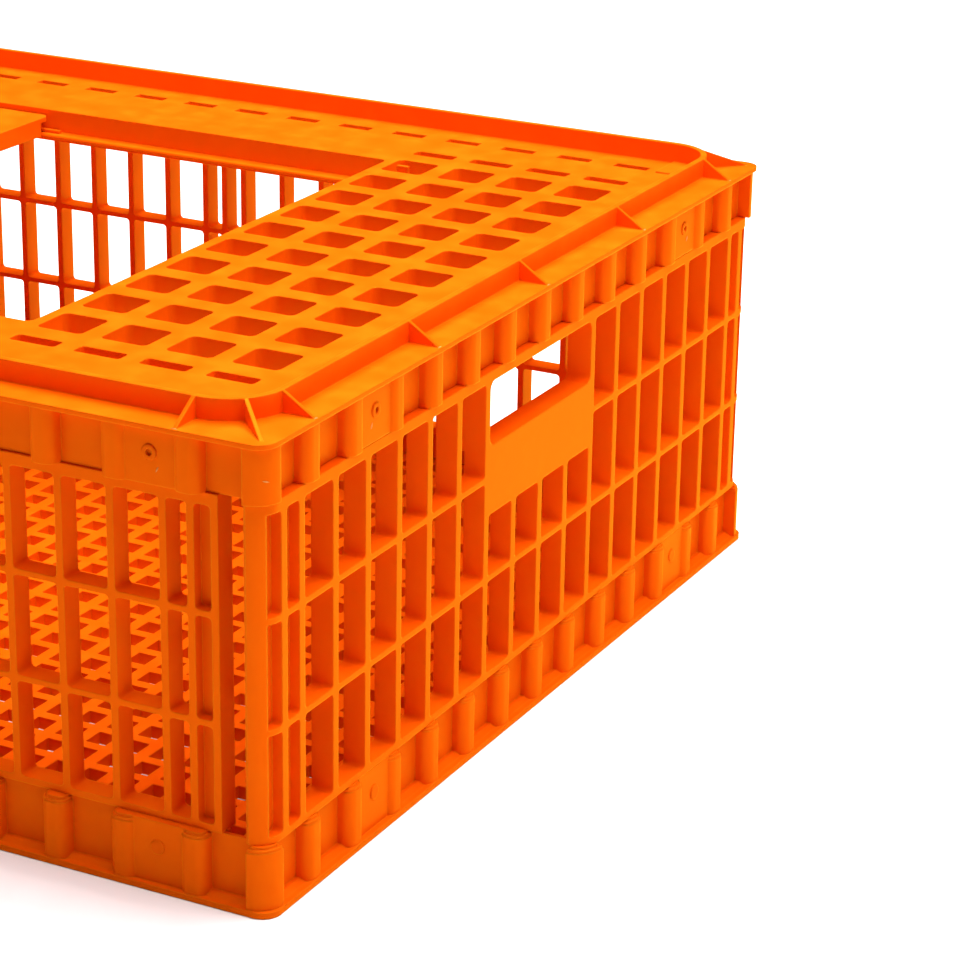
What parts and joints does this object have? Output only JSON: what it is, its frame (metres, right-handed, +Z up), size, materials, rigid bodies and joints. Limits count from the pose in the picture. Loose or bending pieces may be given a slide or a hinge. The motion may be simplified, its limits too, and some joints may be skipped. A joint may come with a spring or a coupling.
{
  "type": "poultry transport crate",
  "caption": "Low open-lattice plastic crate for carrying live poultry, with fluted base and lid skirts, ribbed walls, hand holes, a stacking rim and a sliding roof door.",
  "frame": {"origin": "middle of the foot flange's underside, on the ground", "axes": "+X along the long sides towards the end that the roof door closes over; +Y across, away from the front side panel; +Z up"},
  "size_m": [0.97, 0.58, 0.251],
  "materials": {
    "base": "semi-gloss orange polyethylene",
    "cover": "semi-gloss orange polyethylene",
    "walls": "semi-gloss orange polyethylene",
    "door": "semi-gloss orange polyethylene",
    "rivets": "moulded orange polyethylene"
  },
  "bodies": {
    "crate": {"base_tray": "base", "top_cover": "cover", "end_panel_left": "walls", "end_panel_right": "walls", "side_panel_front": "walls", "side_panel_back": "walls", "base_rivets_front": "rivets", "base_rivets_back": "rivets", "base_rivets_left": "rivets", "base_rivets_right": "rivets", "cover_rivets_front": "rivets", "cover_rivets_back": "rivets", "cover_rivets_left": "rivets", "cover_rivets_right": "rivets"},
    "door": {"sliding_door": "door"}
  },
  "joints": [
    {"name": "door_slide", "type": "slide", "parent": "crate", "child": "door", "axis": [1, 0, 0], "range_m": [-0.035, 0.247]}
  ]
}
